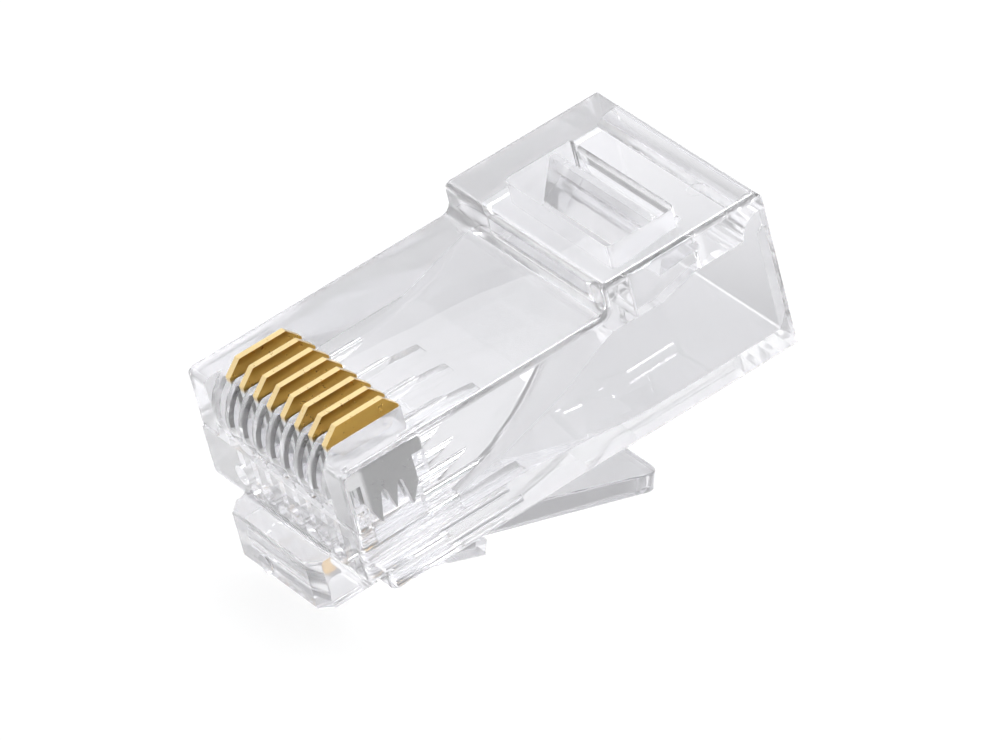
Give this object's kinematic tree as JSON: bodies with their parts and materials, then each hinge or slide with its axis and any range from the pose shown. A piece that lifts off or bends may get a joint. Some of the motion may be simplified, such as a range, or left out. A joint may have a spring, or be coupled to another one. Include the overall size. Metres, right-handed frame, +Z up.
{
  "type": "modular network plug",
  "caption": "Clear modular plug for network cable: gold contact blades in a comb, a springy latch lever underneath and a hinged bar that clamps the cable jacket.",
  "frame": {"origin": "on the surface it rests on, under the middle of the plug's bounding box", "axes": "+X across the plug, +Y from the mating end back to the cable entry, +Z up, contacts uppermost; the body is pitched up from its nose, because it rests on its nose and on the tail of its latch"},
  "size_m": [0.0116, 0.0226, 0.0151],
  "materials": {
    "clear_plastic": "water-clear, gloss",
    "gold_contact": "satin gold plating"
  },
  "bodies": {
    "plug_housing": {"plug_housing": "clear_plastic"},
    "latch_lever": {"latch_lever": "clear_plastic"},
    "jacket_clamp_bar": {"jacket_clamp_bar": "clear_plastic"},
    "contact_1": {"contact_1": "gold_contact"},
    "contact_2": {"contact_2": "gold_contact"},
    "contact_3": {"contact_3": "gold_contact"},
    "contact_4": {"contact_4": "gold_contact"},
    "contact_5": {"contact_5": "gold_contact"},
    "contact_6": {"contact_6": "gold_contact"},
    "contact_7": {"contact_7": "gold_contact"},
    "contact_8": {"contact_8": "gold_contact"}
  },
  "joints": [
    {"name": "latch_flex", "type": "hinge", "parent": "plug_housing", "child": "latch_lever", "pos_m": [0, -0.0078, 0.00125], "axis": [1, 0, 0], "range_deg": [0, 17], "stiffness_Nm_per_rad": 0.3},
    {"name": "clamp_bar_turn", "type": "hinge", "parent": "plug_housing", "child": "jacket_clamp_bar", "pos_m": [0, 0.00666, 0.01283], "axis": [1, 0, 0], "range_deg": [0, 40]},
    {"name": "contact_1_press", "type": "slide", "parent": "plug_housing", "child": "contact_1", "axis": [0, 0.2796, -0.9601], "range_m": [0, 0.0011]},
    {"name": "contact_2_press", "type": "slide", "parent": "plug_housing", "child": "contact_2", "axis": [0, 0.2796, -0.9601], "range_m": [0, 0.0011]},
    {"name": "contact_3_press", "type": "slide", "parent": "plug_housing", "child": "contact_3", "axis": [0, 0.2796, -0.9601], "range_m": [0, 0.0011]},
    {"name": "contact_4_press", "type": "slide", "parent": "plug_housing", "child": "contact_4", "axis": [0, 0.2796, -0.9601], "range_m": [0, 0.0011]},
    {"name": "contact_5_press", "type": "slide", "parent": "plug_housing", "child": "contact_5", "axis": [0, 0.2796, -0.9601], "range_m": [0, 0.0011]},
    {"name": "contact_6_press", "type": "slide", "parent": "plug_housing", "child": "contact_6", "axis": [0, 0.2796, -0.9601], "range_m": [0, 0.0011]},
    {"name": "contact_7_press", "type": "slide", "parent": "plug_housing", "child": "contact_7", "axis": [0, 0.2796, -0.9601], "range_m": [0, 0.0011]},
    {"name": "contact_8_press", "type": "slide", "parent": "plug_housing", "child": "contact_8", "axis": [0, 0.2796, -0.9601], "range_m": [0, 0.0011]}
  ],
  "couplings": [
    {"joint": "contact_2_press", "follows": "contact_1_press", "ratio": 1},
    {"joint": "contact_3_press", "follows": "contact_1_press", "ratio": 1},
    {"joint": "contact_4_press", "follows": "contact_1_press", "ratio": 1},
    {"joint": "contact_5_press", "follows": "contact_1_press", "ratio": 1},
    {"joint": "contact_6_press", "follows": "contact_1_press", "ratio": 1},
    {"joint": "contact_7_press", "follows": "contact_1_press", "ratio": 1},
    {"joint": "contact_8_press", "follows": "contact_1_press", "ratio": 1}
  ]
}
